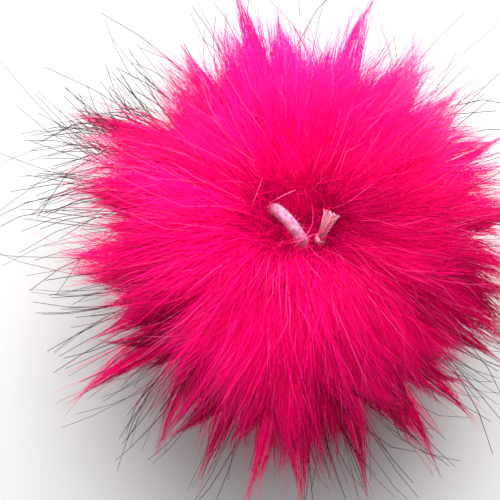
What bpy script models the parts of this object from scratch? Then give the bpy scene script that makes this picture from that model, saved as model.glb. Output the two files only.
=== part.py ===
"""A faux-fur pompom with an elastic loop, resting on the side opposite to its gathered opening.

Metres, +Z up. The origin is the middle of the flat spot that the pompom rests on. The fur is one solid:
a matted ball with a gathered pit on top, and locks that grow out of it. The elastic loop and the cord's
knotted, frayed end stand in the pit.
"""

import math
import random
from collections import namedtuple

import bmesh
import bpy
from mathutils import Vector
from mathutils.geometry import interpolate_bezier

MM = 0.001

# The matted ball: the backing and the packed inner half of the pile.
BALL_RADIUS = 33 * MM
CENTRE_HEIGHT = 34 * MM
FLAT_RADIUS = 11 * MM
ROOT_SCATTER = 0.045  # how far a root's corner strays over the ball, as a share of its radius

# The gathered opening on top.
PIT_RADIUS = 9.8 * MM
PIT_FLOOR_HEIGHT = 56.2 * MM
PIT_WALL_RADIUS = 9.2 * MM
PIT_WALL_HEIGHT = 62.4 * MM
PIT_FLOOR_RADIUS = 8.4 * MM
PIT_MIDDLE_RADIUS = 3.0 * MM

# The cells of the pit's floor, by the heading at which each starts. The cord stands in three of them, and
# a short lock in each of the others.
PIT_HEADINGS = (8, 42, 76, 110, 144, 184, 218, 252, 293, 334)
CORD_CELLS = (144, 252, 293)
PIT_LOCK_LENGTH = 9.5 * MM
PIT_LOCK_TIP = 0.12  # its tip's width, as a share of its cell
PIT_LOCK_LEAN = 0.12  # how far a pit lock leans outwards, as a share of its length

# How the pile grows, by the angle of its root from the top of the ball: the angle at which it leaves,
# the angle at which it lies once it is BEND_LENGTH out, and the lengths of a lock and of a slim bundle
# of guard hairs.
BEND_LENGTH = 30 * MM
SWIRL = math.radians(16)
Pile = namedtuple("Pile", "root leaves lies lock guard")
PILE_TABLE = (
    Pile(15, 4, 86, 15 * MM, 22 * MM),
    Pile(20, 38, 88, 16 * MM, 27 * MM),
    Pile(30, 50, 89, 17 * MM, 31 * MM),
    Pile(45, 60, 91, 16 * MM, 33 * MM),
    Pile(60, 70, 95, 14.5 * MM, 34 * MM),
    Pile(75, 80, 98, 14 * MM, 34 * MM),
    Pile(90, 92, 101, 13.5 * MM, 34 * MM),
    Pile(110, 106, 108, 13 * MM, 31 * MM),
    Pile(130, 111, 103, 11.5 * MM, 25 * MM),
    Pile(148, 98, 92, 8.5 * MM, 14 * MM),
    Pile(165, 88, 86, 5 * MM, 8 * MM),
)

# Tufts that stand out from the rest: the way they point, seen from above, their root's angle from the
# top, and how long they are.
TUFT_SPREAD = 9  # degrees of fur that a tuft gathers in
Tuft = namedtuple("Tuft", "heading root length")
TUFT_TABLE = (
    Tuft(8, 84, 21 * MM),
    Tuft(27, 82, 20 * MM),
    Tuft(42, 84, 18 * MM),
    Tuft(74, 78, 27 * MM),
    Tuft(94, 84, 21 * MM),
    Tuft(102, 74, 27 * MM),
    Tuft(121, 80, 20 * MM),
    Tuft(148, 76, 26 * MM),
    Tuft(166, 84, 18 * MM),
    Tuft(184, 84, 21 * MM),
    Tuft(204, 86, 18 * MM),
    Tuft(216, 80, 27 * MM),
    Tuft(234, 90, 22 * MM),
    Tuft(247, 92, 24 * MM),
    Tuft(260, 84, 26 * MM),
    Tuft(270, 88, 25 * MM),
    Tuft(286, 96, 24 * MM),
    Tuft(303, 84, 25 * MM),
    Tuft(314, 90, 22 * MM),
    Tuft(330, 90, 20 * MM),
    Tuft(346, 84, 20 * MM),
)

# How a lock and a guard bundle taper: the share of the length, and there the width as a share of the
# root's cell.
TaperStep = namedtuple("TaperStep", "along width")
LOCK_TAPER = (
    TaperStep(0.22, 0.84),
    TaperStep(0.45, 0.64),
    TaperStep(0.68, 0.40),
    TaperStep(0.87, 0.19),
    TaperStep(1.00, 0.05),
)
GUARD_TAPER = (
    TaperStep(0.25, 0.26),
    TaperStep(0.50, 0.15),
    TaperStep(0.75, 0.085),
    TaperStep(1.00, 0.03),
)
GUARD_ROOT_WIDTH = 0.42
LOCK_WANDER = 0.30  # how far a tip strays from straight out, as a share of its root cell's width
GUARD_WANDER = 0.85
LENGTH_VARIES = (0.84, 1.14)
GUARD_EVERY = 6
BARE_BELOW = math.radians(148)  # past this angle from the top the ball bears on the floor and grows no lock
SEED = 22

# The round elastic's route through the loop in millimetres, from one foot above the pit's floor to the
# other. The arch is tight for so thick a cord, so its tube has a point every 1.3 mm.
CORD_DIAMETER = 2.5 * MM
CORD_STEPS_PER_STRETCH = 2
LOOP_ROUTE_MM = (
    (-5.16, 1.59, 56.70),
    (-5.38, 1.87, 59.31),
    (-5.53, 2.10, 61.92),
    (-5.46, 2.31, 64.54),
    (-4.68, 2.05, 67.01),
    (-3.32, 0.78, 68.83),
    (-1.70, -1.14, 69.50),
    (-0.15, -3.12, 68.83),
    (0.81, -4.71, 67.01),
    (0.90, -5.54, 64.54),
    (0.68, -5.55, 61.92),
    (0.49, -5.37, 59.31),
    (0.26, -5.09, 56.70),
)

# The knotted end in millimetres, from above the pit's floor up to the frayed tip: each section's
# middle, and half its width and thickness.
EndSection = namedtuple("EndSection", "x y z half_width half_thickness")
END_TABLE_MM = (
    EndSection(4.10, -4.40, 56.6, 0.85, 0.85),
    EndSection(4.20, -4.40, 61.0, 0.90, 0.90),
    EndSection(4.50, -4.20, 64.2, 0.85, 0.85),
    EndSection(4.50, -4.20, 64.9, 1.15, 1.10),
    EndSection(4.60, -4.10, 65.7, 1.35, 1.25),
    EndSection(4.75, -3.90, 66.5, 1.15, 1.05),
    EndSection(4.90, -3.60, 67.0, 0.80, 0.75),
    EndSection(5.30, -2.60, 67.9, 0.90, 0.80),
    EndSection(5.90, -1.40, 68.7, 1.15, 0.85),
    EndSection(6.50, -0.10, 69.4, 1.60, 0.95),
    EndSection(6.90, 0.80, 69.8, 2.10, 1.05),
)
END_SIDES = 12
END_FACES = Vector((0.35, 0.75, -1.0))  # the flared tip's flat sides lie across this direction
FRAY_DEPTH = 0.7 * MM


def clear_scene():
    for thing in list(bpy.data.objects):
        bpy.data.objects.remove(thing)


def finish(name, colour, roughness):
    made = bpy.data.materials.new(name)
    made.use_nodes = True
    shader = made.node_tree.nodes["Principled BSDF"]
    shader.inputs["Base Color"].default_value = (*colour, 1.0)
    shader.inputs["Roughness"].default_value = roughness
    shader.inputs["Metallic"].default_value = 0.0
    return made


def add_object(name, shape, material):
    made = bpy.data.objects.new(name, shape)
    made.data.materials.append(material)
    bpy.context.scene.collection.objects.link(made)
    return made


def mesh_of(name, maker):
    mesh = bpy.data.meshes.new(name)
    maker.to_mesh(mesh)
    maker.free()
    return mesh


def pile_at(degrees_from_top):
    """The row of the pile table for this angle, on straight lines between its rows."""
    for low, high in zip(PILE_TABLE, PILE_TABLE[1:]):
        if degrees_from_top <= high.root:
            share = (degrees_from_top - low.root) / (high.root - low.root)
            return Pile(*(a + share * (b - a) for a, b in zip(low, high)))
    return PILE_TABLE[-1]


def angle_from_top(direction):
    return math.acos(max(-1.0, min(1.0, direction.z)))


def heading_of(direction):
    return math.atan2(direction.y, direction.x)


def towards(heading, from_top):
    """The unit vector at this heading, seen from above, and this angle from the top."""
    level = math.sin(from_top)
    return Vector((level * math.cos(heading), level * math.sin(heading), math.cos(from_top)))


def ball_point(direction):
    """Where the matted ball's surface lies. Its lower half is drawn down to the flat spot."""
    flat_starts_at = math.sqrt(1.0 - (FLAT_RADIUS / BALL_RADIUS) ** 2)
    half_height = BALL_RADIUS if direction.z > 0.0 else CENTRE_HEIGHT / flat_starts_at
    height = max(0.0, CENTRE_HEIGHT + half_height * direction.z)
    return Vector((BALL_RADIUS * direction.x, BALL_RADIUS * direction.y, height))


def swirl(direction):
    """A slow sideways drift of the pile, from -1 to 1, so that the locks don't all point straight out."""
    heading = heading_of(direction)
    from_top = angle_from_top(direction)
    broad = math.sin(2.0 * heading + 3.0 * from_top)
    fine = math.sin(3.0 * heading - 2.0 * from_top + 1.3)
    return 0.5 * (broad + fine)


def pile_point(direction, distance):
    """The point this far along the pile whose root is in this direction from the ball's centre."""
    pile = pile_at(math.degrees(angle_from_top(direction)))
    bent = distance / BEND_LENGTH
    lean = math.radians(pile.leaves + (pile.lies - pile.leaves) * bent)
    heading = heading_of(direction) + SWIRL * swirl(direction) * bent
    return ball_point(direction) + distance * towards(heading, lean)


def tuft_length(direction, length):
    """A lock's length here, drawn out where it belongs to a tuft."""
    longest = length
    for tuft in TUFT_TABLE:
        middle = towards(math.radians(tuft.heading), math.radians(tuft.root))
        apart = math.degrees(direction.angle(middle))
        share = min(1.0, 1.6 * math.exp(-((apart / TUFT_SPREAD) ** 2)))
        longest = max(longest, length + share * (tuft.length - length))
    return longest


def ring_around(middle, corners, width, drift):
    """The corners' directions, drawn in towards the middle to this share of their spread and pushed."""
    return [(middle + drift + width * (corner - middle)).normalized() for corner in corners]


def bridge(maker, lower, upper):
    for i, corner in enumerate(lower):
        after = (i + 1) % len(lower)
        maker.faces.new((corner, lower[after], upper[after], upper[i]))


def grow_lock(maker, root, corners, length, taper, wander, chance):
    """A lock of three or four sides on these root vertices, tapering inside its own cone of space."""
    middle = sum(corners, Vector()) / len(corners)
    cell = max((corner - middle).length for corner in corners)
    across = middle.orthogonal().normalized()
    turn = chance.uniform(0.0, 2.0 * math.pi)
    aside = across * math.cos(turn) + middle.normalized().cross(across) * math.sin(turn)
    aside *= cell * wander * chance.uniform(0.4, 1.0)
    ring = root
    for step in taper:
        directions = ring_around(middle, corners, step.width, aside * step.along ** 2)
        following = [maker.verts.new(pile_point(direction, length * step.along)) for direction in directions]
        bridge(maker, ring, following)
        ring = following
    maker.faces.new(ring)


def root_layout():
    """A unit sphere's faces, one for each root, with the pit's rim on top and the flat spot below."""
    layout = bmesh.new()
    bmesh.ops.create_icosphere(layout, subdivisions=3, radius=1.0)
    poles = [vert for vert in layout.verts if abs(vert.co.z) > 0.999]
    bmesh.ops.dissolve_verts(layout, verts=poles)
    pit = max(layout.faces, key=lambda face: face.calc_center_median().z)
    flat = min(layout.faces, key=lambda face: face.calc_center_median().z)
    for edge in list(pit.edges):
        bmesh.utils.edge_split(edge, edge.verts[0], 0.5)
    chance = random.Random(SEED)
    for vert in layout.verts:
        if vert in pit.verts:
            vert.co = towards(heading_of(vert.co), math.asin(PIT_RADIUS / BALL_RADIUS))
        elif vert in flat.verts:
            vert.co = towards(heading_of(vert.co), math.pi - math.asin(FLAT_RADIUS / BALL_RADIUS))
        else:
            stray = Vector([chance.uniform(-ROOT_SCATTER, ROOT_SCATTER) for _ in range(3)])
            vert.co = (vert.co + stray).normalized()
    return layout, pit, flat


def level_ring(maker, headings, radius, height):
    places = [(radius * math.cos(heading), radius * math.sin(heading), height) for heading in headings]
    return [maker.verts.new(place) for place in places]


def pit_lock(maker, root):
    """A short lock that stands on a cell of the pit's floor."""
    corners = [vert.co.copy() for vert in root]
    middle = sum(corners, Vector()) / len(corners)
    lean = PIT_LOCK_LEAN * Vector((middle.x, middle.y, 0.0)).normalized()
    ring = root
    for step in LOCK_TAPER:
        centre = middle + PIT_LOCK_LENGTH * step.along * (lean + Vector((0.0, 0.0, 1.0)))
        width = max(PIT_LOCK_TIP, step.width)
        following = [maker.verts.new(centre + width * (corner - middle)) for corner in corners]
        bridge(maker, ring, following)
        ring = following
    maker.faces.new(ring)


def sink_pit(maker, rim):
    """The gathered opening: its wall drops from the rim's vertices to a flat floor, where short locks
    stand round the cord."""
    turn = min(range(len(rim)), key=lambda i: abs(heading_of(rim[i].co) - math.radians(PIT_HEADINGS[0])))
    rim = rim[turn:] + rim[:turn]
    if heading_of(rim[1].co) < heading_of(rim[0].co):
        rim = rim[:1] + rim[:0:-1]
    wall = level_ring(maker, [heading_of(vert.co) for vert in rim], PIT_WALL_RADIUS, PIT_WALL_HEIGHT)
    headings = [math.radians(heading) for heading in PIT_HEADINGS]
    foot = level_ring(maker, headings, PIT_FLOOR_RADIUS, PIT_FLOOR_HEIGHT)
    middle = level_ring(maker, headings, PIT_MIDDLE_RADIUS, PIT_FLOOR_HEIGHT)
    bridge(maker, rim, wall)
    bridge(maker, wall, foot)
    for i, heading in enumerate(PIT_HEADINGS):
        after = (i + 1) % len(foot)
        cell = [foot[i], foot[after], middle[after], middle[i]]
        if heading in CORD_CELLS:
            maker.faces.new(cell)
        else:
            pit_lock(maker, cell)
    maker.faces.new(middle)


def fur_ball():
    """The gathered ball of faux fur. Each face of the matted ball grows a lock or a bundle of guard
    hairs, but for the pit, the flat spot and the faces next to that."""
    layout, pit, flat = root_layout()
    maker = bmesh.new()
    placed = {vert: maker.verts.new(ball_point(vert.co)) for vert in layout.verts}
    chance = random.Random(SEED)
    grown = 0
    for face in layout.faces:
        root = [placed[vert] for vert in face.verts]
        corners = [vert.co.copy() for vert in face.verts]
        middle = (sum(corners, Vector()) / len(corners)).normalized()
        if face == pit:
            sink_pit(maker, root)
            continue
        if face == flat or angle_from_top(middle) > BARE_BELOW:
            maker.faces.new(root)
            continue
        grown += 1
        pile = pile_at(math.degrees(angle_from_top(middle)))
        vary = chance.uniform(*LENGTH_VARIES)
        if grown % GUARD_EVERY == 0:
            collar = ring_around(middle, corners, GUARD_ROOT_WIDTH, Vector())
            slim_root = [maker.verts.new(ball_point(direction)) for direction in collar]
            bridge(maker, root, slim_root)
            grow_lock(maker, slim_root, corners, pile.guard * vary, GUARD_TAPER, GUARD_WANDER, chance)
        else:
            length = tuft_length(middle, pile.lock * vary)
            grow_lock(maker, root, corners, length, LOCK_TAPER, LOCK_WANDER, chance)
    layout.free()
    return add_object("fur_ball", mesh_of("fur_ball", maker), finish("faux_fur", (0.90, 0.004, 0.13), 0.6))


def smooth_route(points, steps):
    """A smooth curve through the points, with this many steps between each pair."""
    smooth = []
    for i in range(len(points) - 1):
        start = points[i]
        end = points[i + 1]
        before = points[max(0, i - 1)]
        after = points[min(len(points) - 1, i + 2)]
        handle_out = start + (end - before) / 6.0
        handle_in = end - (after - start) / 6.0
        smooth += interpolate_bezier(start, handle_out, handle_in, end, steps + 1)[:-1]
    return smooth + [points[-1]]


def elastic_loop():
    """The round elastic's arch and the two legs that go down into the gathered opening."""
    points = smooth_route([Vector(place) * MM for place in LOOP_ROUTE_MM], CORD_STEPS_PER_STRETCH)
    route = bpy.data.curves.new("elastic_loop", "CURVE")
    route.dimensions = "3D"
    route.bevel_depth = CORD_DIAMETER / 2.0
    route.bevel_resolution = 2
    route.use_fill_caps = True
    line = route.splines.new("POLY")
    line.points.add(len(points) - 1)
    line.use_smooth = True
    for spot, point in zip(line.points, points):
        spot.co = (*point, 1.0)
    return add_object("elastic_loop", route, finish("white_elastic", (0.78, 0.60, 0.70), 0.8))


def close_end(maker, ring, hub):
    middle = maker.verts.new(hub)
    for i, corner in enumerate(ring):
        maker.faces.new((corner, ring[(i + 1) % len(ring)], middle))


def knotted_end():
    """The cord's own end: its stretch up out of the pit, the knot, and the cut tip that has frayed open."""
    maker = bmesh.new()
    middles = [Vector((section.x, section.y, section.z)) * MM for section in END_TABLE_MM]
    rings = []
    for i, section in enumerate(END_TABLE_MM):
        before = middles[max(0, i - 1)]
        after = middles[min(len(middles) - 1, i + 1)]
        along = (after - before).normalized()
        wide = along.cross(END_FACES).normalized() * section.half_width * MM
        thick = along.cross(wide).normalized() * section.half_thickness * MM
        frayed = FRAY_DEPTH if i == len(END_TABLE_MM) - 1 else 0.0
        ring = []
        for side in range(END_SIDES):
            turn = 2.0 * math.pi * side / END_SIDES
            corner = middles[i] + wide * math.cos(turn) + thick * math.sin(turn)
            ring.append(maker.verts.new(corner + along * frayed * (side % 2)))
        rings.append(ring)
    for lower, upper in zip(rings, rings[1:]):
        bridge(maker, lower, upper)
    close_end(maker, rings[0], middles[0])
    close_end(maker, rings[-1], middles[-1])
    bmesh.ops.recalc_face_normals(maker, faces=maker.faces)
    mesh = mesh_of("knotted_end", maker)
    mesh.shade_smooth()
    return add_object("knotted_end", mesh, finish("frayed_elastic", (0.72, 0.42, 0.45), 0.9))


clear_scene()
fur_ball()
elastic_loop()
knotted_end()
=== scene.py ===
"""A faux-fur pompom with an elastic loop, lying on a pale table with its gathered opening up.

The fur is grown strand by strand from the matted ball and gathered into wisps and locks. The round
elastic's loop and the cord's knotted, frayed end stand in the opening.
"""

import math
import random

import bmesh
import bpy
from mathutils import Matrix, Vector
from mathutils.geometry import interpolate_bezier


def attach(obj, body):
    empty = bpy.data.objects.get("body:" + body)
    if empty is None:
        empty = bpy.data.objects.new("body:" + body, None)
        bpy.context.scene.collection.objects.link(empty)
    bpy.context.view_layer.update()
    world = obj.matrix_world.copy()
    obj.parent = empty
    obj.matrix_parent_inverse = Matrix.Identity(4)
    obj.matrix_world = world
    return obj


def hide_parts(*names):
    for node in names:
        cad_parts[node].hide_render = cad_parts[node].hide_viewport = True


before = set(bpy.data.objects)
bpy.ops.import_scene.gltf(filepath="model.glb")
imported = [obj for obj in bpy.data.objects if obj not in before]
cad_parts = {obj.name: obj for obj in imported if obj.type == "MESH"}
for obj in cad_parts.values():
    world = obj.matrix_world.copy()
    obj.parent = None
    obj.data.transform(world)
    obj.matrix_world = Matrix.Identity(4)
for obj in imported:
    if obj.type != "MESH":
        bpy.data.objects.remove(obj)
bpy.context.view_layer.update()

# ----------------------------------------------------------------------------
# The table that the pompom lies on is pale and matt. A broad soft lamp and a brighter patch of sky
# light it from behind, and the camera looks down into the gathered opening from a little in front.

MM = 0.001
FLOOR_SIZE = 2.4
SKY_COLOUR = (0.98, 0.98, 1.0, 1.0)
SKY_BRIGHTEST = Vector((0.0, 0.72, 0.69))
SKY_PATCH_EDGE = 0.32  # the cosine where the bright patch begins
SKY_DARK = 0.02
SKY_BRIGHT = 3.4
CAMERA_AIM = Vector((-11.0 * MM, -1.4 * MM, 34 * MM))
CAMERA_DISTANCE = 0.25
CAMERA_BACK = Vector((0.034, -0.150, 0.988)).normalized()
CAMERA_RIGHT = Vector((0.0, 1.0, 0.0)).cross(CAMERA_BACK).normalized()
FRAME_WIDTH_AT_AIM = 118.5 * MM
SENSOR_WIDTH = 36.0
NEAREST_SEEN = 0.01
FARTHEST_SEEN = 20.0


def finish(name, values):
    """A new finish with these values on its shader's own sockets, and its tree and shader."""
    made = bpy.data.materials.new(name)
    made.use_nodes = True
    shader = made.node_tree.nodes["Principled BSDF"]
    for socket, value in values.items():
        shader.inputs[socket].default_value = value
    return made, made.node_tree, shader


def put(tree, kind, inputs, **settings):
    """One node with its settings, and its inputs as values or other nodes' sockets."""
    made = tree.nodes.new(kind)
    for name, value in settings.items():
        setattr(made, name, value)
    for name, value in inputs.items():
        if isinstance(value, bpy.types.NodeSocket):
            tree.links.new(value, made.inputs[name])
        else:
            made.inputs[name].default_value = value
    return made


def set_out(name, data):
    """A new object, set out in the scene."""
    made = bpy.data.objects.new(name, data)
    bpy.context.scene.collection.objects.link(made)
    return made


def mesh_of(name, maker):
    """The mesh of what the maker holds, which is put away."""
    mesh = bpy.data.meshes.new(name)
    maker.to_mesh(mesh)
    maker.free()
    return mesh


def soft_lamp(name, place, size, power, colour):
    """A round lamp that faces the pompom."""
    lamp = bpy.data.lights.new(name, "AREA")
    lamp.shape = "DISK"
    lamp.size = size
    lamp.energy = power
    lamp.color = colour
    made = set_out(name, lamp)
    made.location = place
    made.rotation_euler = (CAMERA_AIM - place).to_track_quat("-Z", "Y").to_euler()


floor_finish, _, _ = finish("pale_table", {
    "Base Color": (0.46, 0.46, 0.46, 1.0),
    "Roughness": 0.55,
    "Specular IOR Level": 0.25,
})
floor_maker = bmesh.new()
bmesh.ops.create_grid(floor_maker, x_segments=1, y_segments=1, size=FLOOR_SIZE / 2.0)
floor_mesh = mesh_of("floor", floor_maker)
floor_mesh.materials.append(floor_finish)
floor = set_out("floor", floor_mesh)

sky = bpy.data.worlds.new("soft_sky")
sky.use_nodes = True
sky_tree = sky.node_tree
inputs = {0: put(sky_tree, "ShaderNodeTexCoord", {}).outputs["Generated"], 1: SKY_BRIGHTEST}
sky_side = put(sky_tree, "ShaderNodeVectorMath", inputs, operation="DOT_PRODUCT").outputs["Value"]
inputs = {"Value": sky_side, "From Min": SKY_PATCH_EDGE, "To Min": SKY_DARK, "To Max": SKY_BRIGHT}
sky_strength = put(sky_tree, "ShaderNodeMapRange", inputs).outputs[0]
sky_light = sky_tree.nodes["Background"]
sky_light.inputs["Color"].default_value = SKY_COLOUR
sky_tree.links.new(sky_strength, sky_light.inputs["Strength"])
bpy.context.scene.world = sky
soft_lamp("key_light", Vector((0.08, 0.66, 0.75)), size=0.8, power=16.8, colour=(1.0, 0.99, 0.97))
soft_lamp("fill_light", Vector((0.55, -0.25, 0.45)), size=0.5, power=0.2, colour=(1.0, 1.0, 1.0))

eye = bpy.data.cameras.new("camera")
eye.sensor_width = SENSOR_WIDTH
eye.lens = SENSOR_WIDTH * CAMERA_DISTANCE / FRAME_WIDTH_AT_AIM
eye.clip_start = NEAREST_SEEN
eye.clip_end = FARTHEST_SEEN
camera = set_out("camera", eye)
camera_turn = Matrix((CAMERA_RIGHT, CAMERA_BACK.cross(CAMERA_RIGHT), CAMERA_BACK)).transposed()
camera_place = Matrix.Translation(CAMERA_AIM + CAMERA_BACK * CAMERA_DISTANCE)
camera.matrix_world = camera_place @ camera_turn.to_4x4()
bpy.context.scene.camera = camera
bpy.context.scene.view_settings.view_transform = "Standard"

# ----------------------------------------------------------------------------
# The loop: round elastic, rubber threads in a braided cover. It comes up out of the gathered
# opening, arches over and goes back in, and both its legs are caught under the stitches.

CORD_DIAMETER = 2.5 * MM
LOOP_ROUTE_MM = (
    (-5.16, 1.59, 56.70),
    (-5.38, 1.87, 59.31),
    (-5.53, 2.10, 61.92),
    (-5.46, 2.31, 64.54),
    (-4.68, 2.05, 67.01),
    (-3.32, 0.78, 68.83),
    (-1.70, -1.14, 69.50),
    (-0.15, -3.12, 68.83),
    (0.81, -4.71, 67.01),
    (0.90, -5.54, 64.54),
    (0.68, -5.55, 61.92),
    (0.49, -5.37, 59.31),
    (0.26, -5.09, 56.70),
)
CORD_RINGS_PER_STRETCH = 20
CORD_SIDES = 48
BRAID_YARNS = 8
BRAID_PITCH = 5.2 * MM
BRAID_RELIEF = 0.07 * MM
LOOP_LENGTH = 31.6 * MM


def smooth_route(points, steps):
    """A smooth curve through the points, with this many steps between each pair."""
    smooth = []
    for i in range(len(points) - 1):
        start = points[i]
        end = points[i + 1]
        before = points[max(0, i - 1)]
        after = points[min(len(points) - 1, i + 2)]
        handle_out = start + (end - before) / 6.0
        handle_in = end - (after - start) / 6.0
        smooth += interpolate_bezier(start, handle_out, handle_in, end, steps + 1)[:-1]
    return smooth + [points[-1]]


def framed(points):
    """Each point with its way along, and two ways across that don't twist from one point to the next."""
    across = None
    places = []
    for i, point in enumerate(points):
        along = (points[min(i + 1, len(points) - 1)] - points[max(i - 1, 0)]).normalized()
        if across is None:
            across = along.orthogonal()
        across = (across - along * across.dot(along)).normalized()
        places.append((point, along, across, along.cross(across)))
    return places


def bridge(maker, lower, upper):
    """The band of faces between two rings."""
    faces = []
    for i, corner in enumerate(lower):
        after = (i + 1) % len(lower)
        faces.append(maker.faces.new((corner, lower[after], upper[after], upper[i])))
    return faces


def add_piece(name, maker, material):
    """A smooth piece of what the maker holds."""
    bmesh.ops.recalc_face_normals(maker, faces=maker.faces)
    mesh = mesh_of(name, maker)
    mesh.shade_smooth()
    mesh.materials.append(material)
    return set_out(name, mesh)


def reckon(operation, *values):
    """A sum on these values, in the tree that they come from."""
    tree = next(value.id_data for value in values if isinstance(value, bpy.types.NodeSocket))
    return put(tree, "ShaderNodeMath", dict(enumerate(values)), operation=operation).outputs[0]


def times(first, *others):
    for other in others:
        first = reckon("MULTIPLY", first, other)
    return first


def plus(first, second):
    return reckon("ADD", first, second)


def minus(first, second):
    return reckon("SUBTRACT", first, second)


def over(first, second):
    return reckon("DIVIDE", first, second)


def times_plus(value, factor, added):
    return reckon("MULTIPLY_ADD", value, factor, added)


def chart_of(tree):
    """The two coordinates of the piece's map."""
    chart = put(tree, "ShaderNodeUVMap", {}, uv_map="OFBake").outputs[0]
    return put(tree, "ShaderNodeSeparateXYZ", {0: chart}).outputs


def shade(tree, spot, stops):
    """The colour at this spot on a ramp of stops."""
    ramp = put(tree, "ShaderNodeValToRGB", {0: spot})
    while len(ramp.color_ramp.elements) < len(stops):
        ramp.color_ramp.elements.new(0.5)
    for element, (place, colour) in zip(ramp.color_ramp.elements, stops):
        element.position = place
        element.color = (*colour, 1.0)
    return ramp.outputs[0]


def grain(tree, size, detail=3.0):
    """Noise on the piece's own coordinates with patches of this size."""
    places = tree.nodes.new("ShaderNodeTexCoord").outputs["Object"]
    inputs = {"Vector": places, "Scale": 1.0 / size, "Detail": detail}
    return put(tree, "ShaderNodeTexNoise", inputs).outputs[0]


def roughen(tree, shader, height, distance, strength):
    inputs = {"Height": height, "Distance": distance, "Strength": strength}
    bump = put(tree, "ShaderNodeBump", inputs)
    tree.links.new(bump.outputs[0], shader.inputs["Normal"])


# The cover's yarns are painted paler and the grooves between them darker, as painted light and
# shade, and patches of fluff are mottled darker and pinker. The legs are painted pinker from this
# height down, for the pink light and shade that the fur throws on them.
LOOP_SHADES = (
    (0.0, (0.20, 0.02, 0.085)),
    (0.35, (0.40, 0.09, 0.22)),
    (0.65, (0.49, 0.24, 0.36)),
    (1.0, (0.80, 0.62, 0.71)),
)
# Painted reflection and shade: the pink that the fur throws on the loop's legs, from this height down.
LOOP_PAINTED_REFLECTION = (0.78, 0.03, 0.20, 1.0)
LOOP_REFLECTION_STARTS = 68.4 * MM
LOOP_REFLECTION_FULL = 65.4 * MM
LOOP_REFLECTION_PATCHES = (1.5, 0.1)
FLUFF_PATCH = 0.9 * MM
YARN_GRAIN = 0.16 * MM
BRAID_SHOWS = 0.12
FLUFF_SHOWS = 1.1
GRAIN_SHOWS = (1.0, -0.52)
loop_finish, loop_tree, loop_shader = finish("white_elastic", {
    "Roughness": 0.7,
    "Sheen Weight": 0.35,
    "Sheen Roughness": 0.45,
    "Sheen Tint": (1.0, 0.75, 0.88, 1.0),
})
loop_parts = chart_of(loop_tree)
braid_turns = 2.0 * math.pi * BRAID_YARNS
loop_turns = times(loop_parts[0], braid_turns)
loop_slant = times(loop_parts[1], braid_turns * LOOP_LENGTH / BRAID_PITCH)
loop_left = reckon("SINE", plus(loop_turns, loop_slant))
loop_right = reckon("SINE", minus(loop_turns, loop_slant))
loop_braid = times(loop_left, loop_right)
loop_fluff = grain(loop_tree, FLUFF_PATCH)
loop_fine = grain(loop_tree, YARN_GRAIN)
loop_tone = times(loop_fluff, FLUFF_SHOWS)
# Painted light and shade: the braid's yarns paler and its grooves darker.
loop_tone = times_plus(loop_braid, BRAID_SHOWS, loop_tone)
loop_speckle = times_plus(loop_fine, *GRAIN_SHOWS)
loop_tone = plus(loop_tone, loop_speckle)
loop_places = loop_tree.nodes.new("ShaderNodeTexCoord").outputs["Object"]
loop_height = put(loop_tree, "ShaderNodeSeparateXYZ", {0: loop_places}).outputs[2]
# Painted reflection and shade from the fur, in patches, lower on the legs.
inputs = {0: loop_height, 1: LOOP_REFLECTION_STARTS, 2: LOOP_REFLECTION_FULL}
loop_reflection = put(loop_tree, "ShaderNodeMapRange", inputs).outputs[0]
loop_patches = times_plus(loop_fluff, *LOOP_REFLECTION_PATCHES)
loop_reflection = times(loop_reflection, loop_patches)
inputs = {0: loop_reflection, 6: shade(loop_tree, loop_tone, LOOP_SHADES), 7: LOOP_PAINTED_REFLECTION}
loop_colour = put(loop_tree, "ShaderNodeMix", inputs, data_type="RGBA").outputs[2]
loop_tree.links.new(loop_colour, loop_shader.inputs["Base Color"])
roughen(loop_tree, loop_shader, loop_fine, distance=0.06 * MM, strength=0.8)

loop_line = smooth_route([Vector(stop) * MM for stop in LOOP_ROUTE_MM], CORD_RINGS_PER_STRETCH)
loop_maker = bmesh.new()
loop_rings = []
loop_travels = []
travelled = 0.0
for i, (point, along, across, up) in enumerate(framed(loop_line)):
    if i:
        travelled += (point - loop_line[i - 1]).length
    ring = []
    for side in range(CORD_SIDES):
        turn = 2.0 * math.pi * side / CORD_SIDES
        slant = 2.0 * math.pi * travelled / BRAID_PITCH
        braid = math.sin(BRAID_YARNS * (turn + slant)) * math.sin(BRAID_YARNS * (turn - slant))
        radius = CORD_DIAMETER / 2.0 + BRAID_RELIEF * (braid - 0.5)
        outwards = across * math.cos(turn) + up * math.sin(turn)
        ring.append(loop_maker.verts.new(point + radius * outwards))
    loop_rings.append(ring)
    loop_travels.append(travelled)
loop_map = loop_maker.loops.layers.uv.new("OFBake")
FACE_CORNERS = ((0, 0), (1, 0), (1, 1), (0, 1))  # the side and the ring that each belongs to
CAP_SPOTS = (0.01, 0.99)  # where the two ends lie along the map
CAP_DEPTH = 0.004
for i, (lower, upper) in enumerate(zip(loop_rings, loop_rings[1:])):
    for side, face in enumerate(bridge(loop_maker, lower, upper)):
        for corner, (step, ring) in zip(face.loops, FACE_CORNERS):
            corner[loop_map].uv = ((side + step) / CORD_SIDES, loop_travels[i + ring] / LOOP_LENGTH)
for ring, spot in zip((loop_rings[0], loop_rings[-1]), CAP_SPOTS):
    for i, corner in enumerate(loop_maker.faces.new(ring).loops):
        corner[loop_map].uv = (i / CORD_SIDES, spot + CAP_DEPTH * (i % 2))
loop = add_piece("loop", loop_maker, loop_finish)

# ----------------------------------------------------------------------------
# The knotted end: the same cord's other end. It comes up beside the loop and is knotted, which
# keeps it from slipping back, and its cut tip has frayed open into a flat brush of fibres.

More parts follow.
